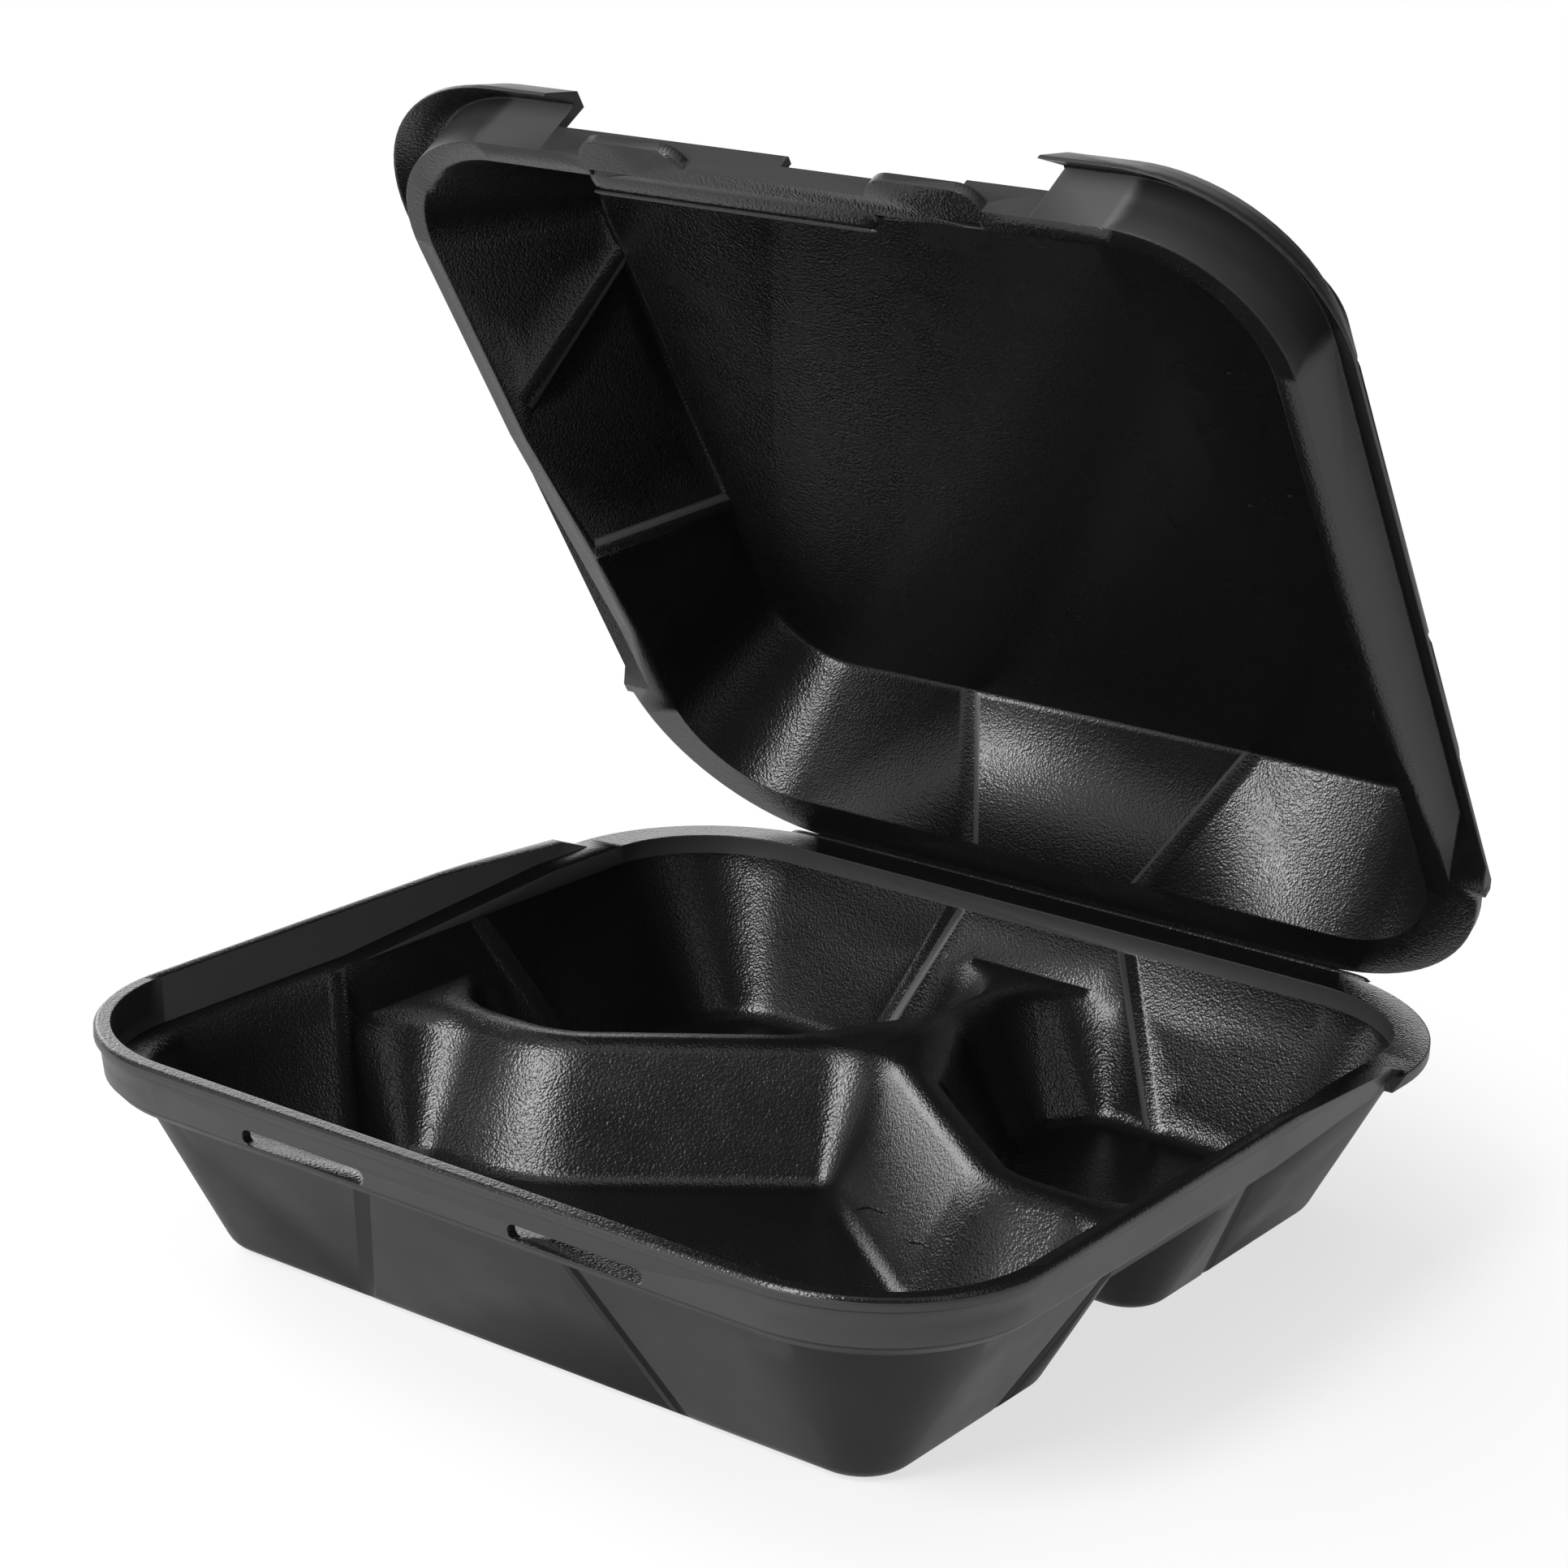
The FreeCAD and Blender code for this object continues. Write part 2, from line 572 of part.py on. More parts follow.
def gutter_space():
    """Makes the space under the gutter's cover, outside the ridge."""
    slope = value(skirt_slope())
    inner = "ridge_width + ridge_lean + gutter_flat"
    drop = value("gutter_roof + hinge_z") - value("ledge_z - sheet * 2")
    wide = f"{inner} + {drop / slope}"
    space = loft("gutter_solid", [("ledge_z - sheet * 2", rim_outline(wide)),
                                  ("hinge_z + gutter_roof", rim_outline(inner))])
    core = loft("ridge_core", [("ledge_z - sheet * 3", rim_outline("ridge_width")),
                               ("ledge_z", rim_outline("ridge_width")),
                               ("hinge_z + gutter_roof + sheet", rim_outline("ridge_width + ridge_lean"))])
    ring = cut("gutter_ring", space, core)
    top = "hinge_z + gutter_roof + sheet"
    side = [("- far", "0"), ("hinge_y - gutter_end", "0"), ("hinge_y - gutter_end", "hinge_z"),
            ("hinge_y - gutter_end - gutter_rise", top), ("- far", top)]
    return common("gutter", [ring, side_block("gutter_side", side)])


def under_lid():
    """Makes the block below the mating faces, down past the tray."""
    below = ramp("ledge_z + seat_gap", "hinge_z + seat_gap / 2")
    return side_block("under_lid", [("far", "0"), ("- far", "0")] + below)


def front_notch():
    """Makes what is cut away between the corner skirts, down to the front wall."""
    face = "- front_in - ridge_width"
    inside = "- front_in - sheet * 0.6"
    steps = []
    for name, height, left, right in (("notch", "brow", "skirt_half", "skirt_half"),
                                      ("dip", "brow - brow_dip", "- dip_left", "dip_right")):
        level = f"hinge_z + {height}"
        points = [("- far", "0"), (face, "0"), (face, level), (inside, level), (inside, "far"), ("- far", "far")]
        steps.append(side_block(name, points, left, right))
    return steps


def tab(side):
    """Makes one locking tab: a flat tongue with rounded corners."""
    name = "tab_left" if side < 0 else "tab_right"
    block = doc.addObject("Part::Box", f"{name}_block")
    bind(block, Length="tab_width", Width="tab_reach - sheet / 2", Height="sheet")
    centre = f"{'-' if side < 0 else ''} tab_x - tab_width / 2"
    bind(block, Placement__Base__x=centre, Placement__Base__y="- front_in - tab_reach",
         Placement__Base__z="ledge_z + seat_gap")
    tip = value("- front_in - tab_reach + crease_gap")
    return rounded(name, block, "tab_round", lambda box: box.YMax < tip and box.ZLength > value("sheet / 2"))


def tab_pocket(side):
    """Makes the three cornered cut at a tab's foot."""
    name = "cut_left" if side < 0 else "cut_right"
    outer = side * value("tab_x + pocket_width / 2 + sheet")
    inner = side * value("tab_x - pocket_width / 2")
    near = -value("front_in + ridge_width * 0.7")
    places = [FreeCAD.Vector(x, y, value("ledge_z"))
              for x, y in ((outer, near), (outer, near + value("pocket_height")), (inner, near))]
    wedge = doc.addObject("Part::Feature", name)
    wedge.Shape = Part.Face(Part.makePolygon(places + places[:1])).extrude(FreeCAD.Vector(0, 0, value("sheet * 2")))
    return wedge


def make_lid():
    """Joins the outside of the lid, takes its inside out and turns it open."""
    outside, inside = lid_dome()
    shell = fuse("lid_outside", [outside] + lid_rim())
    pockets = [tab_pocket(side) for side in (-1, 1)]
    removed = fuse("lid_inside", [inside, gutter_space(), under_lid()] + front_notch() + pockets)
    moulded = cut("lid_moulded", shell, removed)
    tabs = [tab(side) for side in (-1, 1)]
    lid = fuse("lid", [moulded] + tabs)
    lid.Label = "lid"
    return lid


def open_lid(lid):
    """Turns the shut lid open about the crease."""
    crease = FreeCAD.Vector(0, value("hinge_y"), value("hinge_z"))
    turn = FreeCAD.Rotation(FreeCAD.Vector(1, 0, 0), -value("lid_open"))
    lid.Placement = FreeCAD.Placement(FreeCAD.Vector(), turn, crease)


def check(objects):
    """Stops on any object that failed and on any part that is empty or not valid."""
    failed = [item.Label for item in doc.Objects if {"Invalid", "Error"} & set(item.State)]
    if failed:
        raise RuntimeError(f"not built: {failed}")
    for item in objects:
        if item.Shape.isNull() or not item.Shape.isValid() or len(item.Shape.Solids) != 1:
            raise RuntimeError(f"bad shape: {item.Label}")


def export(objects):
    """Writes each part as its own file."""
    os.makedirs("parts", exist_ok=True)
    for item in objects:
        item.Shape.exportStep(f"parts/{item.Label}.step")


parts = [make_tray(), make_lid()]
doc.recompute()
open_lid(parts[1])
doc.recompute()
check(parts)
export(parts)
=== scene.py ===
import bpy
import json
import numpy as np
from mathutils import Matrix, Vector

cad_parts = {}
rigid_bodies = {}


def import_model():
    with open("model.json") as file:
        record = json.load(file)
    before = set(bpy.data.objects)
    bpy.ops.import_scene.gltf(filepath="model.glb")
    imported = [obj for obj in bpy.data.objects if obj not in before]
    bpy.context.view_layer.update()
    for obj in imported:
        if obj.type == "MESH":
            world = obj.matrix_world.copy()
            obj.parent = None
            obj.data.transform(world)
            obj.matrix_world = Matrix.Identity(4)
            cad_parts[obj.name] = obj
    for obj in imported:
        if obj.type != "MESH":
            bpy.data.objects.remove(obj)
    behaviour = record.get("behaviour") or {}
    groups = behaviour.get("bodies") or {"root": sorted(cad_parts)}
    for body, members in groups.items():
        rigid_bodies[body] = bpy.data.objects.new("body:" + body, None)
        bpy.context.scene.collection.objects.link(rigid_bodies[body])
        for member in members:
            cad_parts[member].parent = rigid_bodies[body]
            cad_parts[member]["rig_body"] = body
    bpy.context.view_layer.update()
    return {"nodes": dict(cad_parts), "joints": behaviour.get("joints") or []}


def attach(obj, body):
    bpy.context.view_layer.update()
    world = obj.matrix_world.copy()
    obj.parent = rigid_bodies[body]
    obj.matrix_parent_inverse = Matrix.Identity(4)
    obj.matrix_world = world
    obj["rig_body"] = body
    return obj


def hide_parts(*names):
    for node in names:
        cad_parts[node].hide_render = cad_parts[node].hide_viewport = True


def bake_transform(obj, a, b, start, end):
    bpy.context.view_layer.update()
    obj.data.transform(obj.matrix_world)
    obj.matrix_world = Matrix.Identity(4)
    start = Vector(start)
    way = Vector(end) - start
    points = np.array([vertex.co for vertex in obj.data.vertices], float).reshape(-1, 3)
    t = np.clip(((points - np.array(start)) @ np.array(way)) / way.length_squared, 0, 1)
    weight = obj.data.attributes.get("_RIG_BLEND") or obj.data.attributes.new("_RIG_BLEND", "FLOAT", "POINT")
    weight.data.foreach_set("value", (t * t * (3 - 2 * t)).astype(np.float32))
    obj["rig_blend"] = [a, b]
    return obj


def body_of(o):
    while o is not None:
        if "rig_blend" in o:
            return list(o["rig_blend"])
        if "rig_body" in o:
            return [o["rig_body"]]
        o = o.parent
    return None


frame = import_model()

import json
import math

import bpy
import numpy as np
from mathutils import Matrix, Vector

bl_info = {
    "name": "Foam clamshell container",
    "version": (1, 0, 0),
    "blender": (4, 5, 0),
    "location": "3D View > Sidebar > Clamshell",
    "description": "Dresses the packed foam container: its laminate, its crease, its marks and the studio",
    "category": "Object",
}

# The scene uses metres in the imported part's frame: X across, Y towards the hinge, Z up.
MM = 0.001

# The lid's own directions as it stands open: up it from the crease, and out of its rim plane to its back.
HINGE = frame["joints"][0]
CREASE = Vector(HINGE["pos_m"])
OPEN = -math.radians(HINGE["range_deg"][0])
LID_UP = Vector((0, -math.cos(OPEN), math.sin(OPEN)))
LID_OUT = Vector((0, math.sin(OPEN), math.cos(OPEN)))

# The three surfaces of the foam, in the order of each mesh's material slots.
LAMINATE, BARE, EDGE = range(3)
SURFACES = ("inside_laminate", "outside_foam", "edge_foam")
LAMINATE_GLOSS, BARE_GLOSS, EDGE_GLOSS = 0.5, 0.16, 0.45

# The laminate has pebbles, lumps that are a little wider than the grain, and slow patches of more or less gloss.
PEBBLE_HEIGHT = 0.6
LUMP_HEIGHT, LUMPS_TO_A_GRAIN = 0.8, 0.8
PATCHES_TO_A_METRE, PATCH_CONTRAST = 90.0, 0.14
LAMINATE_STRENGTH = 0.7

# The bare foam has fine specks on slow waves.
FINE_TO_A_METRE, FINE_DETAIL, FINE_HEIGHT = 1400.0, 3.0, 0.4
WAVES_TO_A_METRE, WAVE_CONTRAST = 55.0, 0.16
BARE_STRENGTH = 0.25

# Points of a CAD copy that are nearer than this become one, and folds sharper than this stay sharp.
MERGE = 0.01 * MM
SHARP = math.radians(32)

# How a strand's ends close: to a point, in a slim curve or bluntly. Each of its rings has twelve points.
POINTED, SLIM, BLUNT = 2, 6, 30
RING = 12

# The split in the divider's front wall, in millimetres from its lower left end to its right end.
SPLIT_MARKS = (
    (15.0, 8.6, 4.9), (19.5, 6.6, 8.0), (27.4, 1.9, 10.4), (33.5, -1.6, 9.6), (40.9, -8.7, 11.2),
    (46.0, -11.4, 13.4), (50.6, -14.1, 14.0),
)
SPLIT_STEPS = 90
SPLIT_WALL = (-0.5, -0.7, 0.5)
SPLIT_WANDER = (0.5, -0.2, 0.85)
SPLIT_WAVES = ((0.9, 0.16), (2.3, 0.1))
SPLIT_HEIGHT = 0.5

# Marks on the lid, in millimetres across it, up it from the crease and out of its rim plane.
PANEL_OUT = 35.7
SCRATCH_ENDS = (-90, -47)
SCRATCH_UP, SCRATCH_FALL = 99.2, 0.02
SCRATCH_HEIGHT, SCRATCH_SUNK, SCRATCH_STEPS = 0.16, 0.02, 60
SPECKS = ((65.3, 153.3), (71.7, 118.8), (60.7, 113.6))
SPECK_HALF, SPECK_HEIGHT, SPECK_STEPS = 0.7, 0.5, 12
RIDGE_ENDS = (-50.5, 22.5)
RIDGE_STEPS = 120
PAD_UP, PAD_OUT, PAD_HEIGHT = 221.6, -3.25, 2.3
BEAD_UP, BEAD_OUT, BEAD_HEIGHT = 218.7, -4.2, 1.0

# Each studio light: its name, its place, the point that it looks at, its width and height, and its watts.
TRAY_MIDDLE = (0, 0, 0.05)
STUDIO = (
    ("front", (-0.12, -1.05, 0.80), TRAY_MIDDLE, (0.34, 0.75), 16),
    ("right", (1.05, -0.18, 0.78), TRAY_MIDDLE, (0.2, 0.6), 1),
    ("left", (-1.3, 0.25, 0.55), TRAY_MIDDLE, (1.0, 0.8), 12),
    ("back", (-1.2, 1.5, 0.5), (0, 0, 0.1), (1.6, 1.2), 12),
    ("fill", (-0.7, -1.1, 0.5), TRAY_MIDDLE, (1.2, 0.8), 3),
    ("top", (0, 0, 1.7), (0, 0, 0), (1.5, 1.5), 8),
)
WORLD_LIGHT = 0.1

# The floor: its tone, half its side, its drop under the object, its share of white near the object, and the
# distances from the origin between which it turns all white.
FLOOR_TONE = 0.94
FLOOR_HALF = 6.0
FLOOR_DROP = 0.2 * MM
FLOOR_WHITE = 0.7
FLOOR_TURNS = (0.14, 0.24)

SENSOR = 36.0
NEAREST, FARTHEST = 0.05, 50.0


class Term:
    """A shader value that Python arithmetic can combine."""

    def __init__(self, graph, socket):
        self.graph = graph
        self.socket = socket

    def __add__(self, other):
        return self.graph.maths("ADD", self, other)

    __radd__ = __add__

    def __sub__(self, other):
        return self.graph.maths("SUBTRACT", self, other)

    def __rsub__(self, other):
        return self.graph.maths("SUBTRACT", other, self)

    def __mul__(self, other):
        return self.graph.maths("MULTIPLY", self, other)

    __rmul__ = __mul__

    def above(self, low, high):
        """Rises smoothly from 0 to 1 between two values."""
        settings = {"interpolation_type": "SMOOTHSTEP"}
        values = {"Value": self, "From Min": low, "From Max": high}
        return Term(self.graph, self.graph.node("ShaderNodeMapRange", settings, values).outputs["Result"])


class Graph:
    """Builds the nodes of one material or world."""

    def __init__(self, owner):
        owner.use_nodes = True
        self.tree = owner.node_tree
        self.tree.nodes.clear()

    def node(self, kind, settings=None, values=None):
        """Adds a node, sets its options and its input values."""
        node = self.tree.nodes.new(kind)
        for name, setting in (settings or {}).items():
            setattr(node, name, setting)
        for name, given in (values or {}).items():
            self.link(given, node.inputs[name])
        return node

    def link(self, given, target):
        """Feeds a socket from a term, or sets it to a constant."""
        if isinstance(given, Term):
            self.tree.links.new(given.socket, target)
        else:
            target.default_value = given

    def maths(self, operation, *terms):
        """Combines numbers."""
        return Term(self, self.node("ShaderNodeMath", {"operation": operation}, dict(enumerate(terms))).outputs[0])

    def place(self):
        """Gives the point on the object, in metres."""
        return Term(self, self.node("ShaderNodeTexCoord").outputs["Object"])

    def ray(self, kind):
        """Gives 1 to rays of one kind and 0 to the rest."""
        return Term(self, self.node("ShaderNodeLightPath").outputs[kind])

    def noise(self, place, scale, detail=2.0):
        """Gives soft noise with a number of lumps to the metre."""
        values = {"Vector": place, "Scale": scale, "Detail": detail}
        return Term(self, self.node("ShaderNodeTexNoise", None, values).outputs[0])

    def cells(self, place, scale):
        """Gives the distance from the nearest cell's centre."""
        node = self.node("ShaderNodeTexVoronoi", {"feature": "F1"}, {"Vector": place, "Scale": scale})
        return Term(self, node.outputs["Distance"])

    def rounded(self, radius):
        """Gives the normal with the sharp edges softened."""
        return Term(self, self.node("ShaderNodeBevel", {"samples": 4}, {"Radius": radius}).outputs[0])

    def bump(self, height, strength, distance, normal):
        """Turns a height into a normal on top of another."""
        values = {"Strength": strength, "Distance": distance, "Height": height, "Normal": normal}
        return Term(self, self.node("ShaderNodeBump", None, values).outputs[0])

    def finish(self, kind, shader):
        """Ends the graph with a shader on its surface."""
        self.tree.links.new(shader.outputs[0], self.node(kind).inputs["Surface"])

    def gloss(self, tone, roughness, normal, level):
        """Ends the graph with one principled surface."""
        values = {"Base Color": grey(tone), "Roughness": roughness, "Normal": normal, "Specular IOR Level": level}
        self.finish("ShaderNodeOutputMaterial", self.node("ShaderNodeBsdfPrincipled", None, values))


def grey(level):
    """Gives an opaque grey."""
    return (level, level, level, 1.0)


class LookSettings(bpy.types.PropertyGroup):
    """Sizes and tones of the foam's surface."""

    inside_tone: bpy.props.FloatProperty(
        name="Inside tone", description="Grey of the laminated inside", default=0.005, min=0, max=1)
    outside_tone: bpy.props.FloatProperty(
        name="Outside tone", description="Grey of the bare outside", default=0.009, min=0, max=1)
    edge_tone: bpy.props.FloatProperty(
        name="Edge tone", description="Grey of cut edges and rims", default=0.026, min=0, max=1)
    inside_roughness: bpy.props.FloatProperty(
        name="Inside roughness", description="Roughness of the laminate", default=0.26, min=0, max=1)
    outside_roughness: bpy.props.FloatProperty(
        name="Outside roughness", description="Roughness of the bare foam", default=0.46, min=0, max=1)
    grain: bpy.props.FloatProperty(
        name="Grain", description="Size of the laminate's pebbles", default=0.6 * MM, unit="LENGTH")
    inside_relief: bpy.props.FloatProperty(
        name="Inside relief", description="Height of the laminate's pebbles", default=0.16 * MM, unit="LENGTH")
    outside_relief: bpy.props.FloatProperty(
        name="Outside relief", description="Height of the bare foam's waves", default=0.2 * MM, unit="LENGTH")
    inside_rounding: bpy.props.FloatProperty(
        name="Inside rounding", description="Radius of the laminate's folds", default=0.7 * MM, unit="LENGTH")
    outside_rounding: bpy.props.FloatProperty(
        name="Outside rounding", description="Radius of the bare foam's edges", default=0.5 * MM, unit="LENGTH")


class MarkSettings(bpy.types.PropertyGroup):
    """Widths of the marks and of the ridge's pad and bead."""

    split_width: bpy.props.FloatProperty(
        name="Split", description="Width of the split in the divider", default=0.7 * MM, unit="LENGTH")
    scratch_width: bpy.props.FloatProperty(
        name="Scratch", description="Width of the scratch on the lid's panel", default=0.45 * MM, unit="LENGTH")
    speck_width: bpy.props.FloatProperty(
        name="Speck", description="Width of a speck on the lid's panel", default=0.9 * MM, unit="LENGTH")
    pad_width: bpy.props.FloatProperty(
        name="Pad", description="Width of the ridge's pad between the tabs", default=7.0 * MM, unit="LENGTH")
    bead_width: bpy.props.FloatProperty(
        name="Bead", description="Width of the bead along the pad", default=1.1 * MM, unit="LENGTH")


class StageSettings(bpy.types.PropertyGroup):
    """The camera."""

    lens: bpy.props.FloatProperty(
        name="Lens", description="Focal length on a 36 mm sensor", default=82.43, unit="CAMERA")
    yaw: bpy.props.FloatProperty(
        name="Yaw", description="Turn of the camera about Z", default=math.radians(35.53), subtype="ANGLE")
    pitch: bpy.props.FloatProperty(
        name="Pitch", description="Tilt of the camera", default=math.radians(-17.19), subtype="ANGLE")
    roll: bpy.props.FloatProperty(
        name="Roll", description="Roll of the camera", default=math.radians(2.22), subtype="ANGLE")
    place: bpy.props.FloatVectorProperty(
        name="Place", description="Where the camera stands", default=(0.42553, -0.59962, 0.33025),
        subtype="TRANSLATION")


def laminate_material(look):
    """Glossy black laminate: its height is soft lumps less the distance from the nearest pebble's centre."""
    graph = Graph(bpy.data.materials.new(SURFACES[LAMINATE]))
    place = graph.place()
    pebbles = graph.cells(place, 1 / look.grain)
    lumps = graph.noise(place, LUMPS_TO_A_GRAIN / look.grain)
    patches = graph.noise(place, PATCHES_TO_A_METRE)
    height = lumps * LUMP_HEIGHT - pebbles * PEBBLE_HEIGHT
    normal = graph.bump(height, LAMINATE_STRENGTH, look.inside_relief, graph.rounded(look.inside_rounding))
    rough = look.inside_roughness + (patches - 0.5) * PATCH_CONTRAST
    graph.gloss(look.inside_tone, rough, normal, LAMINATE_GLOSS)


def foam_material(surface, tone, level, look):
    """Smoother, duller black of the bare foam: its height is slow waves with small specks on them."""
    graph = Graph(bpy.data.materials.new(SURFACES[surface]))
    place = graph.place()
    fine = graph.noise(place, FINE_TO_A_METRE, FINE_DETAIL)
    waves = graph.noise(place, WAVES_TO_A_METRE)
    height = fine * FINE_HEIGHT + waves
    normal = graph.bump(height, BARE_STRENGTH, look.outside_relief, graph.rounded(look.outside_rounding))
    rough = look.outside_roughness + (waves - 0.5) * WAVE_CONTRAST
    graph.gloss(tone, rough, normal, level)


def give_surfaces(mesh, look):
    """Gives a mesh the laminate first, the bare foam second and the foam of cut edges and rims third."""
    if SURFACES[LAMINATE] not in bpy.data.materials:
        laminate_material(look)
        foam_material(BARE, look.outside_tone, BARE_GLOSS, look)
        foam_material(EDGE, look.edge_tone, EDGE_GLOSS, look)
    mesh.materials.clear()
    for name in SURFACES:
        mesh.materials.append(bpy.data.materials[name])


def split_faces(mesh, inward, limit=0.2):
    """Gives the laminate to faces that look the given way, bare foam to the backs and edge foam between."""
    normals = np.empty(len(mesh.polygons) * 3)
    mesh.polygons.foreach_get("normal", normals)
    facing = normals.reshape(-1, 3) @ np.array(inward)
    surface = np.where(facing > limit, LAMINATE, np.where(facing < -limit, BARE, EDGE))
    mesh.polygons.foreach_set("material_index", surface.astype(np.int32))


def show(name, mesh):
    """Puts a mesh into the scene as a foam piece."""
    piece = bpy.data.objects.new(name, mesh)
    bpy.context.scene.collection.objects.link(piece)
    return piece


def dressed_copy(node, inward, look):
    """Shows a CAD node as a merged copy with soft shading, the laminate on the side that looks inward."""
    source = frame["nodes"][node]
    piece = show(node + "_sheet", source.data.copy())
    merge = piece.modifiers.new("merge", "WELD")
    merge.merge_threshold = MERGE
    graph = bpy.context.evaluated_depsgraph_get()
    mesh = bpy.data.meshes.new_from_object(piece.evaluated_get(graph), depsgraph=graph)
    piece.modifiers.clear()
    piece.data = mesh
    mesh.name = piece.name
    give_surfaces(mesh, look)
    split_faces(mesh, inward)
    mesh.shade_smooth()
    mesh.set_sharp_from_angle(angle=SHARP)
    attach(piece, body_of(source)[0])
    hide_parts(node)


class CLAMSHELL_OT_tray(bpy.types.Operator):
    """Dress the tray"""

    bl_idname = "clamshell.tray"
    bl_label = "Tray"

    def execute(self, context):
        dressed_copy("tray", (0, 0, 1), context.scene.clamshell_look)
        return {"FINISHED"}


class CLAMSHELL_OT_lid(bpy.types.Operator):
    """Dress the lid"""

    bl_idname = "clamshell.lid"
    bl_label = "Lid"

    def execute(self, context):
        dressed_copy("lid", -LID_OUT, context.scene.clamshell_look)
        return {"FINISHED"}


def tube_mesh(name, points, surface, look):
    """Makes a mesh from an array of points, where each row is a closed ring, in one of the foam's surfaces."""
    rows, columns = points.shape[:2]
    index = np.arange(rows * columns).reshape(rows, columns)
    index = np.concatenate([index, index[:, :1]], axis=1)
    faces = np.stack([index[:-1, :-1], index[:-1, 1:], index[1:, 1:], index[1:, :-1]], axis=-1)
    mesh = bpy.data.meshes.new(name)
    mesh.from_pydata(points.reshape(-1, 3), [], faces.reshape(-1, 4))
    mesh.shade_smooth()
    give_surfaces(mesh, look)
    mesh.polygons.foreach_set("material_index", np.full(len(mesh.polygons), surface, dtype=np.int32))
    return mesh


def crease_web():
    """Tube that fills the crease from below: round, 1.15 mm in radius, its centre 0.75 mm under the hinge line. It
    closes at both ends with the root of one minus the place along it to the power of 24."""
    half = 83.0 * MM
    radius = 1.15 * MM
    drop = 0.75 * MM
    power = 24
    along = np.linspace(-half, half, 120)
    turn = np.linspace(0, 2 * math.pi, 2 * RING + 1)[:-1]
    x, t = np.meshgrid(along, turn, indexing="ij")
    ends = np.sqrt(np.clip(1 - (np.abs(x) / half) ** power, 0, 1))
    y = CREASE.y + np.cos(t) * radius * ends
    z = CREASE.z - drop + np.sin(t) * radius * ends
    return np.stack([x, y, z], axis=-1)


class CLAMSHELL_OT_crease(bpy.types.Operator):
    """Join the halves with the bent sheet of the crease"""

    bl_idname = "clamshell.crease"
    bl_label = "Crease"

    def execute(self, context):
        web = show("crease_web", tube_mesh("crease_web", crease_web(), LAMINATE, context.scene.clamshell_look))
        step = 2 * MM
        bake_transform(web, "tray", "lid", (0, CREASE.y - step, CREASE.z), (0, CREASE.y + step, CREASE.z))
        return {"FINISHED"}


def unit(vectors):
    """Brings each row of an array to the length of one."""
    return vectors / np.linalg.norm(vectors, axis=1)[:, None]


def strand(path, width, height, raised, ends=SLIM):
    """Flattened tube along a path: an ellipse of the given width and height, turned square to the path and to the
    raised direction. It thins to nothing at both ends with the root of one minus the place to a power."""
    ahead = np.gradient(path, axis=0)
    side = unit(np.cross(ahead, np.array(raised)))
    over = unit(np.cross(side, ahead))
    share = np.linspace(-1, 1, len(path))
    thin = np.sqrt(np.clip(1 - np.abs(share) ** ends, 0, 1))[:, None, None]
    turn = np.linspace(0, 2 * math.pi, RING + 1)[:-1][None, :, None]
    ring = np.cos(turn) * side[:, None] * width / 2 + np.sin(turn) * over[:, None] * height / 2
    return path[:, None] + ring * thin


def through(marks, steps, reach=3):
    """Runs an even polyline through marks, rounded by the mean of each place and its neighbours on both sides."""
    run = np.concatenate([[0], np.cumsum(np.linalg.norm(np.diff(marks, axis=0), axis=1))])
    along = np.linspace(0, run[-1], steps)
    line = np.stack([np.interp(along, run, marks[:, axis]) for axis in range(3)], axis=1)
    padded = np.pad(line, ((reach, reach), (0, 0)), mode="edge")
    return np.lib.stride_tricks.sliding_window_view(padded, 2 * reach + 1, axis=0).mean(axis=-1)


def split_line():
    """Line of the split: it runs through its marks, and two small sine waves along it make it wander."""
    step = np.arange(SPLIT_STEPS)
    wander = sum(np.sin(step * turn) * size * MM for turn, size in SPLIT_WAVES)
    return through(np.array(SPLIT_MARKS) * MM, SPLIT_STEPS) + wander[:, None] * np.array(SPLIT_WANDER)


def on_lid(ends, steps, up, out):
    """Straight path on the lid, from one end across it to the other, at a height up it and out of its rim plane.
    Sizes are in millimetres, and the height may change from place to place."""
    across = np.linspace(*ends, steps)
    across, up, out = np.broadcast_arrays(across, up, out)
    directions = np.array([(1, 0, 0), LID_UP, LID_OUT])
    return np.array(CREASE) + np.stack([across, up, out], axis=1) * MM @ directions


def lid_mark(name, path, width, height, look, ends, surface=LAMINATE):
    """Shows a strand that lies on the inside of the lid."""
    points = strand(path, width, height * MM, -LID_OUT, ends)
    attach(show(name, tube_mesh(name, points, surface, look)), "lid")


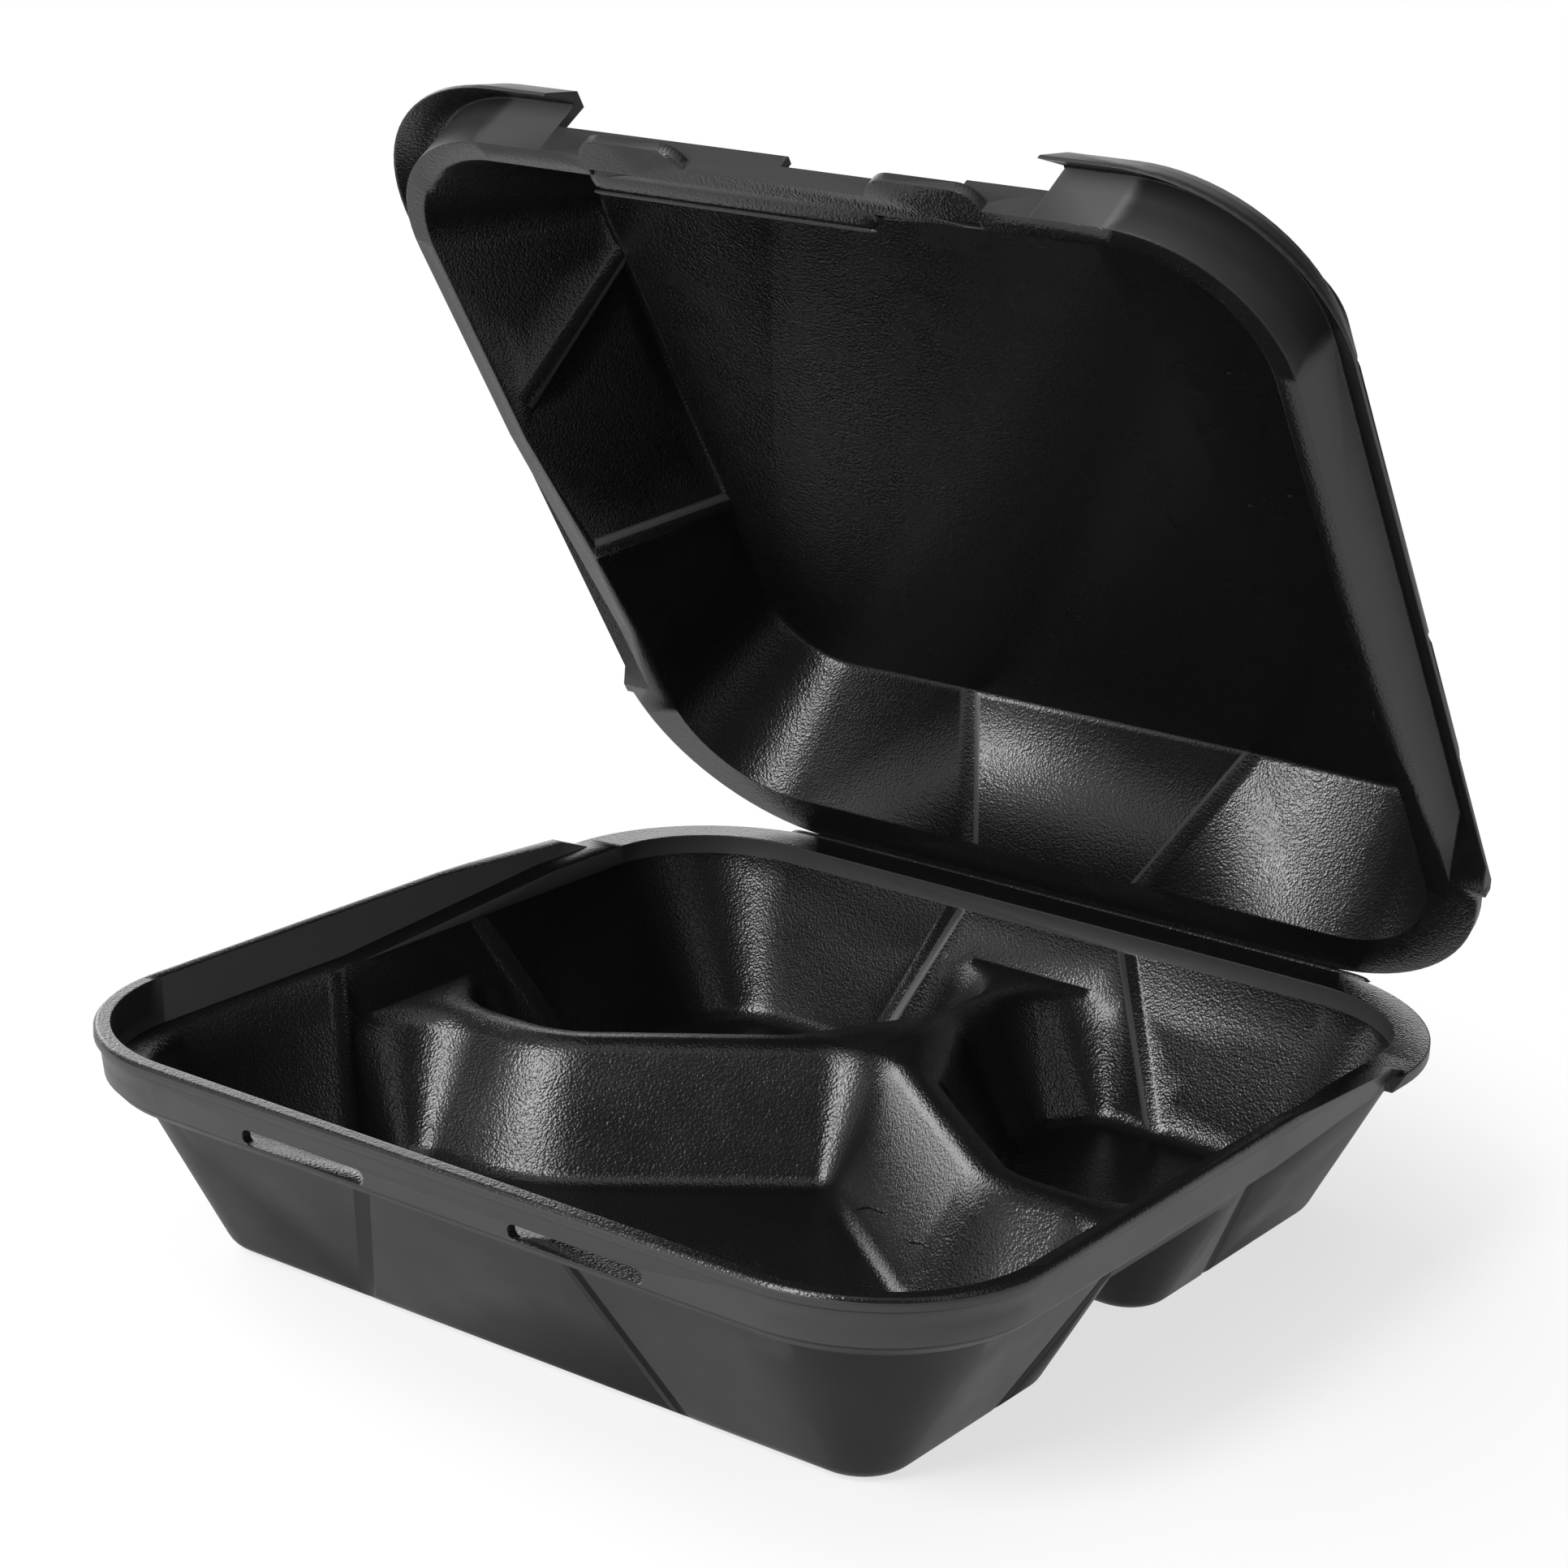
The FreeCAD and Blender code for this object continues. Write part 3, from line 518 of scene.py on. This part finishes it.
class CLAMSHELL_OT_marks(bpy.types.Operator):
    """Add the split, the scratch, the specks and the ridge's pad and bead"""

    bl_idname = "clamshell.marks"
    bl_label = "Marks"

    def execute(self, context):
        look = context.scene.clamshell_look
        marks = context.scene.clamshell_marks
        split = strand(split_line(), marks.split_width, SPLIT_HEIGHT * MM, SPLIT_WALL)
        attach(show("tray_split", tube_mesh("tray_split", split, LAMINATE, look)), "tray")
        fall = np.linspace(0, SCRATCH_ENDS[1] - SCRATCH_ENDS[0], SCRATCH_STEPS) * SCRATCH_FALL
        scratch = on_lid(SCRATCH_ENDS, SCRATCH_STEPS, SCRATCH_UP - fall, PANEL_OUT + SCRATCH_SUNK)
        lid_mark("lid_scratch", scratch, marks.scratch_width, SCRATCH_HEIGHT, look, SLIM)
        pad = on_lid(RIDGE_ENDS, RIDGE_STEPS, PAD_UP, PAD_OUT)
        lid_mark("lid_ridge_pad", pad, marks.pad_width, PAD_HEIGHT, look, BLUNT)
        bead = on_lid(RIDGE_ENDS, RIDGE_STEPS, BEAD_UP, BEAD_OUT)
        lid_mark("lid_ridge_bead", bead, marks.bead_width, BEAD_HEIGHT, look, BLUNT)
        for place, (middle, up) in enumerate(SPECKS, start=1):
            speck = on_lid((middle - SPECK_HALF, middle + SPECK_HALF), SPECK_STEPS, up, PANEL_OUT)
            lid_mark(f"lid_speck_{place}", speck, marks.speck_width, SPECK_HEIGHT, look, POINTED, BARE)
        return {"FINISHED"}


def studio_light(name, place, aim, size, power):
    """Adds a soft rectangular light that looks at a point."""
    data = bpy.data.lights.new(name, "AREA")
    data.shape = "RECTANGLE"
    data.size, data.size_y = size
    data.energy = power
    light = bpy.data.objects.new(name, data)
    light.location = place
    light.rotation_euler = (Vector(aim) - Vector(place)).to_track_quat("-Z", "Y").to_euler()
    light.visible_camera = False
    bpy.context.scene.collection.objects.link(light)


def floor_material():
    """Pale near the object, where it takes the shadow, and plain white farther out to the camera and to gloss."""
    material = bpy.data.materials.new("floor")
    material.cycles.emission_sampling = "NONE"
    graph = Graph(material)
    pale = graph.node("ShaderNodeBsdfPrincipled", None,
                      {"Base Color": grey(FLOOR_TONE), "Roughness": 0.9, "Specular IOR Level": 0.0})
    white = graph.node("ShaderNodeEmission", None, {"Color": grey(1.0), "Strength": 1.0})
    length = graph.node("ShaderNodeVectorMath", {"operation": "LENGTH"}, {0: graph.place()})
    reach = Term(graph, length.outputs["Value"])
    seen = graph.maths("MAXIMUM", graph.ray("Is Camera Ray"), graph.ray("Is Glossy Ray"))
    whiter = FLOOR_WHITE + (1 - FLOOR_WHITE) * reach.above(*FLOOR_TURNS)
    mix = graph.node("ShaderNodeMixShader", None, {0: whiter * seen})
    graph.tree.links.new(pale.outputs[0], mix.inputs[1])
    graph.tree.links.new(white.outputs[0], mix.inputs[2])
    graph.finish("ShaderNodeOutputMaterial", mix)
    return material


def pale_floor():
    """Pale floor, a hair under the object."""
    mesh = bpy.data.meshes.new("floor")
    half = FLOOR_HALF
    corners = ((-half, -half, 0), (half, -half, 0), (half, half, 0), (-half, half, 0))
    mesh.from_pydata(corners, [], [(0, 1, 2, 3)])
    mesh.materials.append(floor_material())
    floor = bpy.data.objects.new("floor", mesh)
    floor.location.z = -FLOOR_DROP
    bpy.context.scene.collection.objects.link(floor)


def white_world():
    """White to the camera, dim as a light."""
    world = bpy.data.worlds.new("studio")
    bpy.context.scene.world = world
    graph = Graph(world)
    strength = WORLD_LIGHT + graph.ray("Is Camera Ray") * (1 - WORLD_LIGHT)
    sky = graph.node("ShaderNodeBackground", None, {"Color": grey(1.0), "Strength": strength})
    graph.finish("ShaderNodeOutputWorld", sky)


def add_camera(stage):
    """Places the camera by its yaw, pitch and roll."""
    ahead = Vector((-math.sin(stage.yaw) * math.cos(stage.pitch),
                    math.cos(stage.yaw) * math.cos(stage.pitch), math.sin(stage.pitch)))
    level = Vector((math.cos(stage.yaw), math.sin(stage.yaw), 0))
    over = level.cross(ahead)
    right = level * math.cos(stage.roll) + over * math.sin(stage.roll)
    above = over * math.cos(stage.roll) - level * math.sin(stage.roll)
    data = bpy.data.cameras.new("camera")
    data.sensor_width = SENSOR
    data.lens = stage.lens
    data.clip_start, data.clip_end = NEAREST, FARTHEST
    camera = bpy.data.objects.new("camera", data)
    turn = Matrix((right, above, -ahead)).transposed().to_4x4()
    camera.matrix_world = Matrix.Translation(Vector(stage.place)) @ turn
    bpy.context.scene.collection.objects.link(camera)
    bpy.context.scene.camera = camera


class CLAMSHELL_OT_stage(bpy.types.Operator):
    """Set the camera, the floor and the lights"""

    bl_idname = "clamshell.stage"
    bl_label = "Stage"

    def execute(self, context):
        context.scene.view_settings.view_transform = "Standard"
        white_world()
        pale_floor()
        for light in STUDIO:
            studio_light(*light)
        add_camera(context.scene.clamshell_stage)
        return {"FINISHED"}


OPERATORS = (CLAMSHELL_OT_tray, CLAMSHELL_OT_lid, CLAMSHELL_OT_crease, CLAMSHELL_OT_marks, CLAMSHELL_OT_stage)


class CLAMSHELL_PT_panel(bpy.types.Panel):
    """Lists the steps"""

    bl_idname = "CLAMSHELL_PT_panel"
    bl_label = "Foam clamshell"
    bl_space_type = "VIEW_3D"
    bl_region_type = "UI"
    bl_category = "Clamshell"

    def draw(self, context):
        for step in OPERATORS:
            self.layout.operator(step.bl_idname)


CLASSES = (LookSettings, MarkSettings, StageSettings, *OPERATORS, CLAMSHELL_PT_panel)


def register():
    """Registers the classes and the settings."""
    for item in CLASSES:
        bpy.utils.register_class(item)
    bpy.types.Scene.clamshell_look = bpy.props.PointerProperty(type=LookSettings)
    bpy.types.Scene.clamshell_marks = bpy.props.PointerProperty(type=MarkSettings)
    bpy.types.Scene.clamshell_stage = bpy.props.PointerProperty(type=StageSettings)


def unregister():
    """Takes the settings and the classes away."""
    del bpy.types.Scene.clamshell_look
    del bpy.types.Scene.clamshell_marks
    del bpy.types.Scene.clamshell_stage
    for item in reversed(CLASSES):
        bpy.utils.unregister_class(item)


def main():
    """Builds the dressed part and its stage."""
    register()
    for step in OPERATORS:
        group, name = step.bl_idname.split(".")
        getattr(getattr(bpy.ops, group), name)()


if __name__ == "__main__":
    main()
